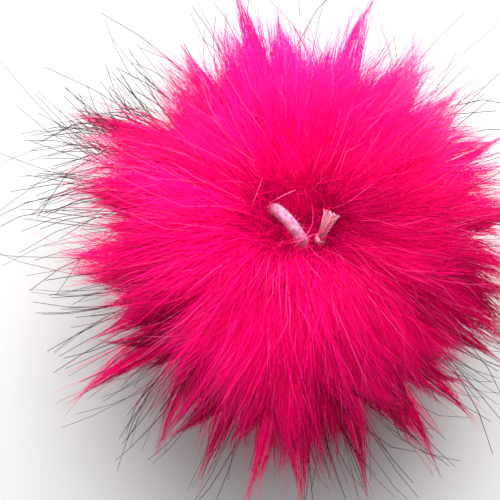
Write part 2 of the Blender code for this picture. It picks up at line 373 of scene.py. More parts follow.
END_TABLE_MM = (  # the route, and the half width and half thickness there
    (4.10, -4.40, 56.6, 0.85, 0.85),
    (4.20, -4.40, 61.0, 0.90, 0.90),
    (4.50, -4.20, 64.2, 0.85, 0.85),
    (4.50, -4.20, 64.9, 1.15, 1.10),
    (4.60, -4.10, 65.7, 1.35, 1.25),
    (4.75, -3.90, 66.5, 1.15, 1.05),
    (4.90, -3.60, 67.0, 0.80, 0.75),
    (5.30, -2.60, 67.9, 0.90, 0.80),
    (5.90, -1.40, 68.7, 1.15, 0.85),
    (6.50, -0.10, 69.4, 1.60, 0.95),
    (6.90, 0.80, 69.8, 2.10, 1.05),
)
END_FACES = Vector((0.35, 0.75, -1.0))
STEM_ROWS = 4
STEM_STEPS = 8
STEM_SIDES = 24
STEM_RADIUS = 0.85 * MM
KNOT_STEPS = 60
KNOT_SIDES = 16
KNOT_TURNS = 1.7
KNOT_START = 0.6
KNOT_TUCK = (0.12, 0.76)  # its ends are tucked in towards the stem
KNOT_ROUNDNESS = 0.6
KNOT_ROPE = 0.56 * MM
KNOT_REACH = 0.72 * MM
KNOT_CENTRE = Vector((4.60, -4.15, 66.2)) * MM
KNOT_HEIGHT = 1.65 * MM
TAIL_FIRST_ROW = 5
TAIL_FIBRES = 150
TAIL_FIBRE_SIDES = 5
TAIL_FIBRE_WIDTH = 0.17 * MM
TAIL_FIBRE_WIDTHS = (0.6, 1.2)
TAIL_FIBRE_REACHES = (0.72, 1.04)
TAIL_POINTS = 12
TAIL_SEED = 7
TAIL_FILL = 0.95
TAIL_RIPPLE_MM = 0.09
TAIL_RIPPLES = 9.0
TAIL_PAST_END = 4 * MM

# The yarns are cream where they have frayed open, and soaked with the fur's dye lower down.
TAIL_SHADES = ((0.0, (0.36, 0.03, 0.10)), (0.35, (0.62, 0.17, 0.26)), (1.0, (0.82, 0.42, 0.50)))
KNOT_SHADES = ((0.0, (0.40, 0.04, 0.12)), (0.5, (0.70, 0.20, 0.29)), (1.0, (0.88, 0.46, 0.54)))
TAIL_TONE_VARIES = (0.45, -0.20)
TAIL_PALER_TO_TIP = 0.85
KNOT_TONE = (1.6, -0.35)
KNOT_PATCH = 0.5 * MM
FRAYED_GRAIN = 0.12 * MM


def frayed_finish(name, tone, shades):
    """Dull fibres with this tone, spread over their shades."""
    values = {"Roughness": 0.85, "Sheen Weight": 0.25, "Sheen Roughness": 0.5}
    made, tree, shader = finish(name, values)
    tree.links.new(shade(tree, tone(tree), shades), shader.inputs["Base Color"])
    roughen(tree, shader, grain(tree, FRAYED_GRAIN), distance=0.05 * MM, strength=0.7)
    return made


def tail_tone(tree):
    """Paler towards the tips, each fibre a little lighter or darker than the next."""
    parts = chart_of(tree)
    fibre = reckon("FLOOR", times(parts[0], float(TAIL_FIBRES)))
    luck = put(tree, "ShaderNodeTexWhiteNoise", {"W": fibre}, noise_dimensions="1D").outputs["Value"]
    tone = times_plus(luck, *TAIL_TONE_VARIES)
    return times_plus(parts[1], TAIL_PALER_TO_TIP, tone)


def knot_tone(tree):
    """Paler and darker patches."""
    return times_plus(grain(tree, KNOT_PATCH), *KNOT_TONE)


knot_finish = frayed_finish("knotted_elastic", knot_tone, KNOT_SHADES)
tail_finish = frayed_finish("frayed_elastic", tail_tone, TAIL_SHADES)


def tube(maker, points, radius, sides, chart=None, column=0.0, columns=1.0):
    """A closed tube through the points. Its map has its column across and its length along."""
    rings = []
    for point, _, across, up in framed(points):
        ring = []
        for side in range(sides):
            turn = 2.0 * math.pi * side / sides
            outwards = across * math.cos(turn) + up * math.sin(turn)
            ring.append(maker.verts.new(point + radius * outwards))
        rings.append(ring)
    faces = [bridge(maker, lower, upper) for lower, upper in zip(rings, rings[1:])]
    ends = [maker.faces.new(rings[0]), maker.faces.new(rings[-1])]
    if chart is None:
        return
    for row, band in enumerate(faces):
        for side, face in enumerate(band):
            for corner, (step, ring) in zip(face.loops, FACE_CORNERS):
                across_map = (column + 0.1 + 0.8 * (side + step) / sides) / columns
                corner[chart].uv = (across_map, (row + ring) / (len(rings) - 1))
    for end, spot in zip(ends, CAP_SPOTS):
        for i, corner in enumerate(end.loops):
            across_map = (column + 0.2 + 0.6 * (i % 2)) / columns
            corner[chart].uv = (across_map, spot + CAP_DEPTH * (i // 2))


# The stem that comes up out of the fur, and the turn of cord knotted round it.
knot_maker = bmesh.new()
stem_line = smooth_route([Vector(row[:3]) * MM for row in END_TABLE_MM[:STEM_ROWS]], STEM_STEPS)
tube(knot_maker, stem_line, STEM_RADIUS, STEM_SIDES)
knot_line = []
for step in range(KNOT_STEPS + 1):
    share = step / KNOT_STEPS
    turn = 2.0 * math.pi * KNOT_TURNS * share + KNOT_START
    tucked = math.sin(math.pi * (KNOT_TUCK[0] + KNOT_TUCK[1] * share))
    reach = KNOT_REACH * tucked**KNOT_ROUNDNESS
    lift = KNOT_HEIGHT * (share - 0.5)
    knot_line.append(KNOT_CENTRE + Vector((reach * math.cos(turn), reach * math.sin(turn), lift)))
tube(knot_maker, knot_line, KNOT_ROPE, KNOT_SIDES)
knot = add_piece("knot", knot_maker, knot_finish)

# The tail: the cover's yarns and the rubber threads, frayed apart into a flat brush.
tail_maker = bmesh.new()
tail_chart = tail_maker.loops.layers.uv.new("OFBake")
tail_rows = END_TABLE_MM[TAIL_FIRST_ROW:]
tail_places = framed([Vector(row[:3]) * MM for row in tail_rows])
tail_chance = random.Random(TAIL_SEED)
for fibre in range(TAIL_FIBRES):
    spread = 2.0 * math.pi * tail_chance.random()
    out = math.sqrt(tail_chance.random())
    sideways = out * math.cos(spread)
    inwards = out * math.sin(spread)
    reach = tail_chance.uniform(*TAIL_FIBRE_REACHES)
    wave = tail_chance.uniform(0.0, 6.28)
    points = []
    for step in range(TAIL_POINTS):
        along_tail = reach * step / (TAIL_POINTS - 1)
        spot = min(along_tail, 0.9999) * (len(tail_rows) - 1)
        row = int(spot)
        past = spot - row
        low_row, high_row = tail_rows[row], tail_rows[row + 1]
        tail_way = tail_places[row][1]
        middle = tail_places[row][0].lerp(tail_places[row + 1][0], past)
        middle += tail_way * max(0.0, along_tail - 1.0) * TAIL_PAST_END
        half_width = low_row[3] + past * (high_row[3] - low_row[3])
        half_thickness = low_row[4] + past * (high_row[4] - low_row[4])
        wide = tail_way.cross(END_FACES).normalized()
        thick = tail_way.cross(wide).normalized()
        ripple = TAIL_RIPPLE_MM * math.sin(wave + TAIL_RIPPLES * along_tail + fibre)
        offset = wide * (sideways * half_width * TAIL_FILL + ripple)
        offset += thick * (inwards * half_thickness * TAIL_FILL + ripple)
        points.append(middle + offset * MM)
    width = TAIL_FIBRE_WIDTH * tail_chance.uniform(*TAIL_FIBRE_WIDTHS)
    tube(tail_maker, points, width / 2.0, TAIL_FIBRE_SIDES, tail_chart, fibre, TAIL_FIBRES)
tail = add_piece("frayed_tail", tail_maker, tail_finish)


def stand_for(piece, node_name):
    """The piece takes the place of this solid and moves with the pompom."""
    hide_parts(node_name)
    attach(piece, "root")


stand_for(loop, "elastic_loop")
stand_for(knot, "knotted_end")
stand_for(tail, "knotted_end")

# ----------------------------------------------------------------------------
# The matted ball: a disc of knitted backing, gathered at its rim over loose stuffing, with the
# packed inner half of its pile. The gathered opening is the pit on top.

BALL_RADIUS = 33 * MM
CENTRE_HEIGHT = 34 * MM
FLAT_RADIUS = 11 * MM
PIT_RADIUS = 9.8 * MM
PIT_WALL = (9.2 * MM, 62.4 * MM)  # its radius and height
PIT_FLOOR = (8.2 * MM, 58.4 * MM)


def angle_from_top(direction):
    return math.acos(max(-1.0, min(1.0, direction.z)))


def heading_of(direction):
    return math.atan2(direction.y, direction.x)


def towards(heading, from_top):
    """The unit vector at this heading, seen from above, and this angle from the top."""
    level = math.sin(from_top)
    return Vector((level * math.cos(heading), level * math.sin(heading), math.cos(from_top)))


def ball_point(direction):
    """Where the matted ball's surface lies. Its lower half is drawn down to the flat spot, and its
    top into the gathered opening."""
    rim = math.asin(PIT_RADIUS / BALL_RADIUS)
    from_top = angle_from_top(direction)
    if from_top < rim:
        profile = [(0.0, PIT_FLOOR[1]), PIT_FLOOR, PIT_WALL]
        profile.append((PIT_RADIUS, CENTRE_HEIGHT + BALL_RADIUS * math.cos(rim)))
        spot = 3.0 * from_top / rim
        step = min(2, int(spot))
        low, high = profile[step], profile[step + 1]
        radius = low[0] + (spot - step) * (high[0] - low[0])
        height = low[1] + (spot - step) * (high[1] - low[1])
        heading = heading_of(direction)
        return Vector((radius * math.cos(heading), radius * math.sin(heading), height))
    flat_starts_at = math.sqrt(1.0 - (FLAT_RADIUS / BALL_RADIUS) ** 2)
    half_height = BALL_RADIUS if direction.z > 0.0 else CENTRE_HEIGHT / flat_starts_at
    height = max(0.0, CENTRE_HEIGHT + half_height * direction.z)
    return Vector((BALL_RADIUS * direction.x, BALL_RADIUS * direction.y, height))


MAT_SHADES = ((0.3, (0.50, 0.0, 0.04)), (0.5, (0.80, 0.0, 0.09)), (0.7, (0.95, 0.0, 0.15)))
MAT_FELT = 0.8 * MM
MAT_FELT_DETAIL = 4.0
MAT_DETAIL = 5

# The glow stands for the light that scatters down through the pile.
mat_values = {"Roughness": 0.9, "Emission Strength": 0.5}
mat_finish, mat_tree, mat_shader = finish("matted_backing", mat_values)
mat_felt = grain(mat_tree, MAT_FELT, MAT_FELT_DETAIL)
mat_colour = shade(mat_tree, mat_felt, MAT_SHADES)
mat_tree.links.new(mat_colour, mat_shader.inputs["Base Color"])
mat_tree.links.new(mat_colour, mat_shader.inputs["Emission Color"])
roughen(mat_tree, mat_shader, mat_felt, distance=0.5 * MM, strength=1.0)
mat_maker = bmesh.new()
bmesh.ops.create_icosphere(mat_maker, subdivisions=MAT_DETAIL, radius=1.0)
for vert in mat_maker.verts:
    vert.co = ball_point(vert.co.normalized())
backing = add_piece("backing", mat_maker, mat_finish)
stand_for(backing, "fur_ball")

# ----------------------------------------------------------------------------
# The pile: acrylic fibres that stand in the knitted backing, lean away from the gathered
# opening and cling together in wisps, and the wisps in locks.

BEND_LENGTH = 30 * MM  # the reach over which a fibre turns from how it leaves to how it lies
SWIRL = math.radians(16)
PILE_COLUMNS = ("root", "leaves", "lies", "lock", "guard", "tone")
# The tone column is partly painted shade: lower, so darker, down in the opening and on the underside.
PILE_TABLE = (  # degrees, and the lengths of locks and guard hairs
    (0, 0, 50, 10.0 * MM, 9 * MM, 0.18),
    (4, -10, 62, 12.5 * MM, 11 * MM, 0.20),
    (8, -20, 76, 16.0 * MM, 15 * MM, 0.27),
    (12, -16, 86, 19.0 * MM, 22 * MM, 0.35),
    (15, 6, 86, 20 * MM, 28 * MM, 0.40),
    (18, 34, 88, 21 * MM, 33 * MM, 0.42),
    (30, 50, 89, 21 * MM, 36 * MM, 0.45),
    (45, 60, 91, 19.5 * MM, 37 * MM, 0.47),
    (60, 70, 95, 17 * MM, 37 * MM, 0.50),
    (75, 80, 98, 15 * MM, 37 * MM, 0.52),
    (90, 92, 101, 14 * MM, 37 * MM, 0.42),
    (105, 104, 108, 13.5 * MM, 35 * MM, 0.20),
    (120, 112, 110, 12.5 * MM, 29 * MM, 0.10),
    (135, 112, 102, 11 * MM, 22 * MM, 0.08),
    (150, 98, 92, 8 * MM, 14 * MM, 0.10),
    (165, 88, 86, 5 * MM, 8 * MM, 0.10),
)
TUFT_TABLE = (  # heading, root, length, sideways lean
    (8, 84, 21 * MM, 4),
    (27, 82, 20 * MM, 0),
    (42, 84, 18 * MM, 5),
    (74, 78, 27 * MM, -3),
    (94, 84, 21 * MM, 2),
    (102, 74, 27 * MM, 3),
    (121, 80, 20 * MM, -4),
    (148, 76, 26 * MM, 4),
    (166, 84, 18 * MM, 0),
    (184, 84, 21 * MM, -4),
    (204, 86, 18 * MM, 5),
    (216, 80, 27 * MM, -2),
    (234, 90, 22 * MM, 3),
    (247, 92, 24 * MM, 0),
    (260, 84, 26 * MM, -3),
    (270, 88, 25 * MM, 2),
    (286, 96, 24 * MM, 0),
    (303, 84, 25 * MM, -4),
    (314, 90, 22 * MM, 3),
    (330, 90, 20 * MM, 0),
    (346, 84, 20 * MM, 2),
)
TUFT_LIFT = 4  # degrees that a tuft stands above the pile round it
PELT_DETAIL = 6
# Painted light and shade: the pile's tone on each side, paler towards the lamp behind it and darker in
# front and at the sides, as the light falls on it.
SIDE_PAINTED_LIGHT = (  # heading, how much paler by the opening, further out and round the middle
    (0, (-0.21, -0.31, -0.34)),
    (45, (-0.05, 0.28, 0.36)),
    (90, (0.06, 0.20, -0.10)),
    (135, (0.01, -0.21, -0.34)),
    (180, (-0.04, -0.21, -0.20)),
    (225, (-0.03, -0.18, -0.24)),
    (270, (0.02, -0.12, -0.20)),
    (315, (-0.10, -0.32, -0.32)),
    (360, (-0.21, -0.31, -0.34)),
)
SIDE_LIGHT_RINGS = (18.0, 45.0, 72.0)  # degrees from the top
MOST_CLUMPED = 0.5
CLUMPED_HEADING = 240.0
CLUMPED_SPREAD = 55.0
SIDE_DROOP = math.radians(7)
SIDE_LIFT_SHARE = 0.3  # how much of the droop the far side lifts instead
DROOPS_OVER = 50.0

# Over which degrees each grows from the opening outwards: its start, its span and its least.
LOOSE = (4.0, 36.0, 0.4)
GATHERS = (15.0, 50.0, 0.25)
CLUMPS = (40.0, 20.0, 0.0)
TONES = 32  # columns on the fibres' map


def pile_at(degrees_from_top, column):
    """A column of the pile table at this angle, on straight lines between its rows."""
    index = PILE_COLUMNS.index(column)
    for low, high in zip(PILE_TABLE, PILE_TABLE[1:]):
        if degrees_from_top <= high[0]:
            share = (degrees_from_top - low[0]) / (high[0] - low[0])
            return low[index] + share * (high[index] - low[index])
    return PILE_TABLE[-1][index]


def table_value(table, spot):
    """The table's value here, on straight lines between its rows."""
    if spot <= table[0][0]:
        return table[0][1]
    for (low, first), (high, second) in zip(table, table[1:]):
        if spot <= high:
            return first + (second - first) * (spot - low) / (high - low)
    return table[-1][1]


def eased(degrees, start, span, least):
    """A share that grows from its least to 1."""
    return min(1.0, max(least, (degrees - start) / span))


def painted_side_light(heading, degrees_from_top):
    """Painted light and shade: how much paler the pile is on this side than all round."""
    ringed = []
    for ring, ring_degrees in enumerate(SIDE_LIGHT_RINGS):
        around = [(row_heading, tones[ring]) for row_heading, tones in SIDE_PAINTED_LIGHT]
        ringed.append((ring_degrees, table_value(around, heading)))
    return table_value(ringed, degrees_from_top)


def clumped(heading):
    """How much more the locks cling together on this side."""
    return MOST_CLUMPED * math.exp(-(((heading - CLUMPED_HEADING) / CLUMPED_SPREAD) ** 2))


def swirl(direction):
    """A slow sideways drift of the pile, from -1 to 1, so that the locks don't all point straight
    out."""
    heading = heading_of(direction)
    from_top = angle_from_top(direction)
    broad = math.sin(2.0 * heading + 3.0 * from_top)
    fine = math.sin(3.0 * heading - 2.0 * from_top + 1.3)
    return 0.5 * (broad + fine)


def store(mesh, label, values):
    """A number, or a way, for each point of the mesh."""
    is_way = len(values) > len(mesh.vertices)
    kind, field = ("FLOAT_VECTOR", "vector") if is_way else ("FLOAT", "value")
    mesh.attributes.new(label, kind, "POINT").data.foreach_set(field, values)


def tuft_roots():
    """The roots of the long tufts, with the way each leaves the ball, the way it lies and its
    length."""
    roots, leaves, lies, lengths = [], [], [], []
    for heading, root, length, lean in TUFT_TABLE:
        roots.append(ball_point(towards(math.radians(heading), math.radians(root))))
        leaves.extend(towards(math.radians(heading), math.radians(pile_at(root, "leaves"))))
        lain = math.radians(pile_at(root, "lies") - TUFT_LIFT)
        lies.extend(towards(math.radians(heading + lean), lain))
        lengths.append(length)
    mesh = bpy.data.meshes.new("tuft_roots")
    mesh.from_pydata(roots, [], [])
    store(mesh, "leaves", leaves)
    store(mesh, "lies", lies)
    store(mesh, "length", lengths)
    return set_out("tuft_roots", mesh)


def pelt(name, length_of, thickness_of):
    """The ball's surface for fur to grow on, with the way the pile leaves it, the way it lies
    further out, its length, how thickly it grows, its tone and how its locks behave."""
    maker = bmesh.new()
    bmesh.ops.create_icosphere(maker, subdivisions=PELT_DETAIL, radius=1.0)
    directions = [vert.co.normalized() for vert in maker.verts]
    labels = ("leaves", "lies", "length", "thick", "tone", "loose", "gathers", "clumps")
    told = {label: [] for label in labels}
    for vert, direction in zip(maker.verts, directions):
        vert.co = ball_point(direction)
        degrees = math.degrees(angle_from_top(direction))
        heading = heading_of(direction)
        compass = math.degrees(heading) % 360.0
        sideways = max(-SIDE_LIFT_SHARE * SIDE_DROOP, -SIDE_DROOP * math.sin(heading))
        lain = math.radians(pile_at(degrees, "lies")) + sideways * min(1.0, degrees / DROOPS_OVER)
        told["leaves"].extend(towards(heading, math.radians(pile_at(degrees, "leaves"))))
        told["lies"].extend(towards(heading + SWIRL * swirl(direction), lain))
        told["length"].append(length_of(direction, degrees))
        told["thick"].append(thickness_of(direction, degrees))
        # The tone holds painted shade and light, from the pile table and from the side of the ball.
        told["tone"].append(pile_at(degrees, "tone") + painted_side_light(compass, degrees))
        told["loose"].append(eased(degrees, *LOOSE))
        told["gathers"].append(eased(degrees, *GATHERS))
        told["clumps"].append(clumped(compass) * eased(degrees, *CLUMPS))
    mesh = mesh_of(name, maker)
    for label, values in told.items():
        store(mesh, label, values)
    return set_out(name, mesh)


# The groom: a tree that grows strands on a pelt. Roots are strewn over it, each strand is drawn
# towards its wisp's path, and that towards its lock's. Then the fur is laid level on the floor,
# held clear of the cord and given its three sides.
GROOM_SIZES = (
    ("Geometry", ("Pelt",)),
    ("Float", ("Strands per mm2", "Strand Width", "Tip Width", "Shortest Strand")),
    ("Float", ("Lock Spacing", "Lock Pull", "Lock Stray", "Length Varies", "Wisp Spacing", "Wisp Pull")),
    ("Float", ("Stray", "Drift", "Frizz", "Tone Varies", "Clear of Cord")),
    ("Int", ("Points on a Strand", "Lock Seed", "Strand Seed")),
    ("Object", ("Cord Line", "Tufts")),
    ("Material", ("Finish",)),
)
WAY = "FLOAT_VECTOR"
MM2_PER_M2 = 1e6
TRIES_PER_ROOT = 4.0
LOCK_LENGTHS = (-0.7, 1.0)
FIRM_LOCKS = 0.8  # below 1, so that more of the locks are firm
LEAN_PASSED_ON = 0.8  # the share of its lock's lean that a wisp or a strand takes
WISP_TONE = 0.8
STRAND_TONE = 0.35
TONE_AT_OPENING = 0.1  # how much the tones vary there
FIRM_EVENS_ENDS = 0.45  # how much closer to its full length a firm lock's strand ends
FEW_LONG = 10.0
LONGER_BY = 0.28
LOOSEST_PULL = 0.4
FIRM_PULL = 0.85
MIDDLE_SHARE = 0.75
# Painted light and shade: long strands and strands held tight to their lock paler, strands in the gaps
# between locks darker.
LONG_PALER = 0.28
TIGHT_PALER = 0.24
ALL_PALER = 0.09
GAPS_PAINTED_DARKER = (-1.6, -0.35)  # between clumped locks, and between all
BRIGHTEST = 0.999
STRAND_WIDTHS = (0.7, 1.25)
REST_HEIGHTS = (0.3, 3.0)
FLOOR_REST = 0.35 * MM
CORD_CLEARANCE = 0.35 * MM
WISP_CURVE = 0.7
WISP_PULL_VARIES = (0.5, 0.5)
LOCK_CURVE = (-0.7, 1.6)  # a firm lock gathers sooner
FLUFFY = (-2.4, 3.4)  # far more by the opening
FIRM_APART = (-0.75, 1.0)
DRIFTS_PER_M = 75.0
WAVES_PER_M = 260.0
NOISE_MIDDLE = (0.5, 0.5, 0.5)
TAPER = 2.5
STRAND_SIDES = 3
COLUMN_SPAN = (0.9, 0.2)

groom = bpy.data.node_groups.new("groom", "GeometryNodeTree")
for kind, names in GROOM_SIZES:
    for name in names:
        groom.interface.new_socket(name=name, in_out="INPUT", socket_type="NodeSocket" + kind)
groom.interface.new_socket(name="Fur", in_out="OUTPUT", socket_type="NodeSocketGeometry")
given = groom.nodes.new("NodeGroupInput").outputs


def outputs_of(kind, inputs=None, **settings):
    """The outputs of a new node of the groom."""
    return put(groom, kind, inputs or {}, **settings).outputs


def node(kind, inputs=None, **settings):
    return outputs_of(kind, inputs, **settings)[0]


def power(base, exponent):
    return reckon("POWER", base, exponent)


def mix(share, first, second):
    return node("ShaderNodeMix", {0: share, 2: first, 3: second})


def steer(operation, *values):
    made = outputs_of("ShaderNodeVectorMath", dict(enumerate(values)), operation=operation)
    return made["Value" if operation == "DISTANCE" else "Vector"]


def sized(way, factor):
    return node("ShaderNodeVectorMath", {0: way, "Scale": factor}, operation="SCALE")


def moved(spot, way, factor):
    return steer("ADD", spot, sized(way, factor))


def between(share, first, second):
    inputs = {0: share, 4: first, 5: second}
    return outputs_of("ShaderNodeMix", inputs, data_type="VECTOR", clamp_factor=False)[1]


def read(name, kind="FLOAT"):
    return node("GeometryNodeInputNamedAttribute", {"Name": name}, data_type=kind)


def keep(geometry, name, value, kind="FLOAT", domain="POINT"):
    inputs = {"Geometry": geometry, "Name": name, "Value": value}
    return node("GeometryNodeStoreNamedAttribute", inputs, data_type=kind, domain=domain)


def here():
    return node("GeometryNodeInputPosition")


def lock_seed(step):
    return plus(given["Lock Seed"], float(step))


def strand_seed(step):
    return plus(given["Strand Seed"], float(step))


def chance(low, high, seed):
    inputs = {2: low, 3: high, "Seed": seed}
    return outputs_of("FunctionNodeRandomValue", inputs, data_type="FLOAT")[1]


def any_way(seed):
    inputs = {0: (-1.0, -1.0, -1.0), 1: (1.0, 1.0, 1.0), "Seed": seed}
    return node("FunctionNodeRandomValue", inputs, data_type=WAY)


def strewn(spacing, seed):
    """Roots on the pelt, at least this far apart."""
    most = over(TRIES_PER_ROOT, times(spacing, spacing))
    inputs = {"Mesh": given["Pelt"], "Distance Min": spacing, "Density Max": most, "Seed": seed}
    points = node("GeometryNodeDistributePointsOnFaces", inputs, distribute_method="POISSON")
    return keep(points, "root", here(), WAY)


def nearest(geometry):
    return node("GeometryNodeSampleNearest", {"Geometry": geometry, "Sample Position": here()})


def sampled(geometry, name, kind, index):
    inputs = {"Geometry": geometry, "Value": read(name, kind), "Index": index}
    return node("GeometryNodeSampleIndex", inputs, data_type=kind)


def along_pile(owner, reach):
    """The point at this reach on the owner's path, which starts at its root and turns from how it
    leaves to how it lies."""
    bent = over(reach, BEND_LENGTH)
    turning = between(bent, read(owner + "leaves", WAY), read(owner + "lies", WAY))
    return moved(read(owner + "root", WAY), steer("NORMALIZE", turning), reach)


# Locks: each a little longer or shorter, and leaning its own way. The tufts join them.
gathers = read("gathers")
lies = read("lies", WAY)
locks = strewn(given["Lock Spacing"], lock_seed(1))
lean = sized(any_way(lock_seed(2)), times(given["Lock Stray"], read("loose")))
locks = keep(locks, "lean", lean, WAY)
locks = keep(locks, "lies", steer("NORMALIZE", steer("ADD", lies, lean)), WAY)
longer = times(chance(*LOCK_LENGTHS, lock_seed(3)), given["Length Varies"], read("loose"))
locks = keep(locks, "length", times(read("length"), plus(longer, 1.0)))
firm = times_plus(power(chance(0.0, 1.0, lock_seed(6)), FIRM_LOCKS), gathers, read("clumps"))
locks = keep(locks, "firm", reckon("MINIMUM", firm, 1.0))
tuft_mesh = outputs_of("GeometryNodeObjectInfo", {"Object": given["Tufts"]})["Geometry"]
tuft_points = keep(node("GeometryNodeMeshToPoints", {"Mesh": tuft_mesh}), "root", here(), WAY)
lock_and_tuft = groom.nodes.new("GeometryNodeJoinGeometry")
groom.links.new(keep(tuft_points, "firm", 1.0), lock_and_tuft.inputs[0])
groom.links.new(locks, lock_and_tuft.inputs[0])
locks = keep(lock_and_tuft.outputs[0], "lock_tone", chance(-1.0, 1.0, lock_seed(0)))
path = (("root", WAY), ("leaves", WAY), ("lies", WAY))
path_and_form = path + (("lean", WAY), ("length", "FLOAT"), ("firm", "FLOAT"))

# Wisps know the lock they belong to.
wisps = strewn(given["Wisp Spacing"], lock_seed(4))
stray = times(given["Lock Stray"], times(read("loose"), LEAN_PASSED_ON))
lock = nearest(locks)
shared = moved(lies, sampled(locks, "lean", WAY, lock), LEAN_PASSED_ON)
strayed = moved(shared, any_way(lock_seed(5)), stray)
wisps = keep(wisps, "lies", steer("NORMALIZE", strayed), WAY)
for name, kind in path_and_form:
    wisps = keep(wisps, "lock_" + name, sampled(locks, name, kind, lock), kind)
wisp_tone = plus(chance(-WISP_TONE, WISP_TONE, lock_seed(6)), sampled(locks, "lock_tone", "FLOAT", lock))
wisps = keep(wisps, "wisp_tone", wisp_tone)

# Strands know their wisp and its lock.
density = times(given["Strands per mm2"], MM2_PER_M2, read("thick"))
inputs = {"Mesh": given["Pelt"], "Density": density, "Seed": strand_seed(7)}
strands = keep(node("GeometryNodeDistributePointsOnFaces", inputs), "root", here(), WAY)
wisp = nearest(wisps)
for name, kind in path:
    strands = keep(strands, "wisp_" + name, sampled(wisps, name, kind, wisp), kind)
for name, kind in path_and_form:
    strands = keep(strands, "lock_" + name, sampled(wisps, "lock_" + name, kind, wisp), kind)
shared = moved(lies, read("lock_lean", WAY), LEAN_PASSED_ON)
strands = keep(strands, "lies", steer("NORMALIZE", shared), WAY)

# How much of its lock's length a strand has, and how closely it keeps to the lock.
firm = read("lock_firm")
luck = chance(0.0, 1.0, strand_seed(9))
share = node("ShaderNodeMapRange", {0: luck, 3: given["Shortest Strand"], 4: 1.0})
share = mix(times(firm, FIRM_EVENS_ENDS), share, 1.0)
strands = keep(strands, "share", times_plus(power(luck, FEW_LONG), LONGER_BY, share))
pull = mix(times(firm, FIRM_PULL), chance(LOOSEST_PULL, 1.0, strand_seed(13)), 1.0)
strands = keep(strands, "own_pull", pull)

# Its tone, with painted light and shade: a lock's middle and long strands paler, the gaps darker.
calm = times_plus(gathers, 1.0 - TONE_AT_OPENING, TONE_AT_OPENING)
varied = times(chance(-1.0, 1.0, strand_seed(8)), STRAND_TONE)
varied = times(plus(varied, sampled(wisps, "wisp_tone", "FLOAT", wisp)), calm)
tone = times_plus(varied, given["Tone Varies"], read("tone"))
painted_depth_shade = times(minus(read("share"), MIDDLE_SHARE), LONG_PALER)
painted_depth_shade = times_plus(minus(pull, MIDDLE_SHARE), TIGHT_PALER, painted_depth_shade)
from_lock = steer("DISTANCE", read("root", WAY), read("lock_root", WAY))
from_lock = power(over(from_lock, given["Lock Spacing"]), 2.0)
painted_depth_shade = times_plus(from_lock, times_plus(read("clumps"), *GAPS_PAINTED_DARKER), painted_depth_shade)
tone = plus(tone, times(plus(painted_depth_shade, ALL_PALER), calm))
strands = keep(strands, "tone", node("ShaderNodeClamp", {0: tone, 1: 0.0, 2: BRIGHTEST}))
strands = keep(strands, "own_stray", any_way(strand_seed(10)), WAY)
strands = keep(strands, "own_width", chance(*STRAND_WIDTHS, strand_seed(11)))
strands = keep(strands, "own_rest", chance(*REST_HEIGHTS, strand_seed(12)))

# Each strand is a line of a few points, which takes its path from what it knows.
line = node("GeometryNodeCurvePrimitiveLine")
line = node("GeometryNodeResampleCurve", {"Curve": line, "Count": given["Points on a Strand"]})
fur = node("GeometryNodeInstanceOnPoints", {"Points": strands, "Instance": line})
fur = node("GeometryNodeRealizeInstances", {"Geometry": fur})
spline_spot = outputs_of("GeometryNodeSplineParameter")["Factor"]
fur = keep(fur, "along", spline_spot)
along = read("along")
part = times(read("share"), along)
reach = times(read("lock_length"), part)
to_wisp = times(given["Wisp Pull"], power(along, WISP_CURVE))
to_wisp = times(to_wisp, times_plus(gathers, *WISP_PULL_VARIES))
to_lock = times(given["Lock Pull"], power(part, times_plus(firm, *LOCK_CURVE)))
to_lock = times(to_lock, read("own_pull"), gathers)
spot = between(to_wisp, along_pile("", reach), along_pile("wisp_", reach))
spot = between(to_lock, spot, along_pile("lock_", reach))
bend = times(reach, along)
fluffy = times(times_plus(gathers, *FLUFFY), times_plus(firm, *FIRM_APART))
stray = times(given["Stray"], fluffy, bend)
spot = moved(spot, read("own_stray", WAY), stray)
inputs = {"Vector": read("root", WAY), "Scale": DRIFTS_PER_M, "Detail": 1.0}
drift = steer("SUBTRACT", outputs_of("ShaderNodeTexNoise", inputs)["Color"], NOISE_MIDDLE)
free = minus(1.0, firm)
spot = moved(spot, drift, times(given["Drift"], free, bend))
inputs = {"Vector": spot, "Scale": WAVES_PER_M, "Detail": 1.0}
wave = steer("SUBTRACT", outputs_of("ShaderNodeTexNoise", inputs)["Color"], NOISE_MIDDLE)
spot = moved(spot, wave, times(given["Frizz"], along, fluffy))
fur = node("GeometryNodeSetPosition", {"Geometry": fur, "Position": spot})

# The floor, and the cord.
parts = outputs_of("ShaderNodeSeparateXYZ", {0: here()})
level = reckon("MAXIMUM", parts[2], times(read("own_rest"), FLOOR_REST))
laid = node("ShaderNodeCombineXYZ", {0: parts[0], 1: parts[1], 2: level})
fur = node("GeometryNodeSetPosition", {"Geometry": fur, "Position": laid})
cord = outputs_of("GeometryNodeObjectInfo", {"Object": given["Cord Line"]})["Geometry"]
inputs = {0: cord, "Sample Position": here()}
close = outputs_of("GeometryNodeProximity", inputs, target_element="EDGES")
short = minus(given["Clear of Cord"], close["Distance"])
away = steer("NORMALIZE", steer("SUBTRACT", here(), close["Position"]))
push = sized(away, reckon("MAXIMUM", short, 0.0))
fur = node("GeometryNodeSetPosition", {"Geometry": fur, "Offset": push})

